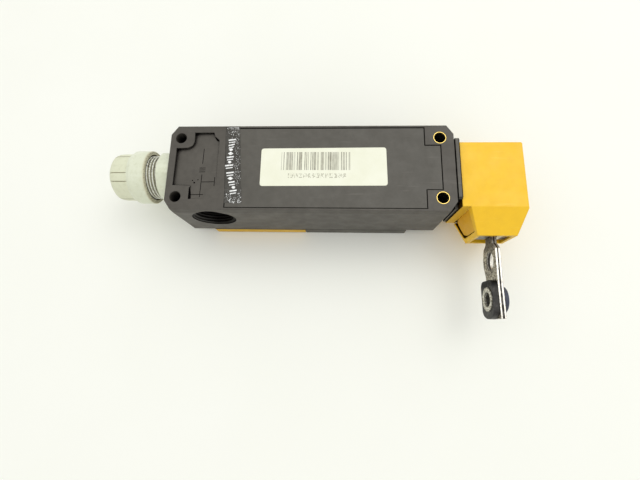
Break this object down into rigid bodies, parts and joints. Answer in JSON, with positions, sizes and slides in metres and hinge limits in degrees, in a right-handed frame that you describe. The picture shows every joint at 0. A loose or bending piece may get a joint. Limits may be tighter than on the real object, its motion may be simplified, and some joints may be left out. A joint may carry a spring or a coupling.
{
  "type": "tongue interlock switch",
  "caption": "Guard locking switch with a slim plastic housing, a yellow actuating head, an engaged laminated tongue actuator and a cable gland.",
  "frame": {"origin": "centre of the four mounting holes, on the back (mounting) face", "axes": "+Z out of the back face, +X from the cable end towards the actuating head, the actuator leaves the head along -Y"},
  "size_m": [0.1994, 0.0901, 0.0394],
  "materials": {
    "housing_plastic": "moulded, fine texture",
    "cover_plastic": "moulded, fine texture",
    "yellow_plastic": "satin moulded",
    "brass": "turned",
    "steel": "stamped, worn",
    "zinc_steel": "zinc plated",
    "rubber_black": "moulded",
    "gasket": "matt",
    "gland_plastic": "moulded polyamide, grimy",
    "paper_label": "matt",
    "seal_film": "thin film",
    "copper": "enamelled winding",
    "inner_plastic": "moulded phenolic",
    "wheel_metal": "die cast"
  },
  "bodies": {
    "base": {"housing": "housing_plastic", "back_cover": "cover_plastic", "mounting_bushes": "brass", "neck_gasket": "gasket", "neck_flange": "housing_plastic", "head_body": "yellow_plastic", "snout_insert": "yellow_plastic", "head_screws": "zinc_steel", "entry_guides": "steel", "cam_pin": "steel", "solenoid_yoke": "zinc_steel", "solenoid_coil": "copper", "coil_bobbin": "inner_plastic", "contact_block": "inner_plastic", "fixed_contacts": "brass", "terminal_screws": "zinc_steel", "terminal_gasket": "gasket", "terminal_lid": "yellow_plastic", "terminal_lid_screws": "zinc_steel", "mechanism_gasket": "gasket", "mechanism_lid": "housing_plastic", "mechanism_lid_screws": "zinc_steel", "gland_body": "gland_plastic", "gland_seal": "rubber_black", "lock_spring": "steel", "slider_spring": "steel", "label_plate": "paper_label", "seal_strip": "seal_film"},
    "actuator": {"actuator_plate_left": "steel", "actuator_plate_right": "steel", "bush_left": "rubber_black", "bush_right": "rubber_black", "bush_eyelet": "zinc_steel"},
    "wheel": {"cam_wheel": "wheel_metal"},
    "lock": {"lock_bolt": "steel", "armature": "steel"},
    "slider": {"switching_slider": "inner_plastic", "door_rod": "steel", "contact_bridge": "copper"},
    "release": {"release_screw": "brass"},
    "nut": {"gland_nut": "gland_plastic"}
  },
  "joints": [
    {"name": "actuator_slide", "type": "slide", "parent": "base", "child": "actuator", "axis": [0, -1, 0], "range_m": [0, 0.0417]},
    {"name": "wheel_turn", "type": "hinge", "parent": "base", "child": "wheel", "pos_m": [0.0786, 0, -0.0155], "axis": [0, 0, 1], "range_deg": [-131, 0]},
    {"name": "slider_travel", "type": "slide", "parent": "base", "child": "slider", "axis": [-1, 0, 0], "range_m": [0, 0.0031], "deforming": ["slider_spring"]},
    {"name": "lock_travel", "type": "slide", "parent": "base", "child": "lock", "axis": [1, 0, 0], "range_m": [0, 0.0036], "stiffness_N_per_m": 350, "springref_m": -0.003, "deforming": ["lock_spring"]},
    {"name": "release_turn", "type": "hinge", "parent": "base", "child": "release", "pos_m": [0.0576, 0, -0.0305], "axis": [0, 0, -1], "range_deg": [0, 180]},
    {"name": "gland_nut_turn", "type": "hinge", "parent": "base", "child": "nut", "pos_m": [-0.0885, 0, -0.0136], "axis": [1, 0, 0], "range_deg": [-360, 0]}
  ],
  "couplings": [
    {"joint": "wheel_turn", "follows": "actuator_slide", "rad_per_m": -54.62},
    {"joint": "slider_travel", "follows": "actuator_slide", "ratio": 0.0719}
  ]
}
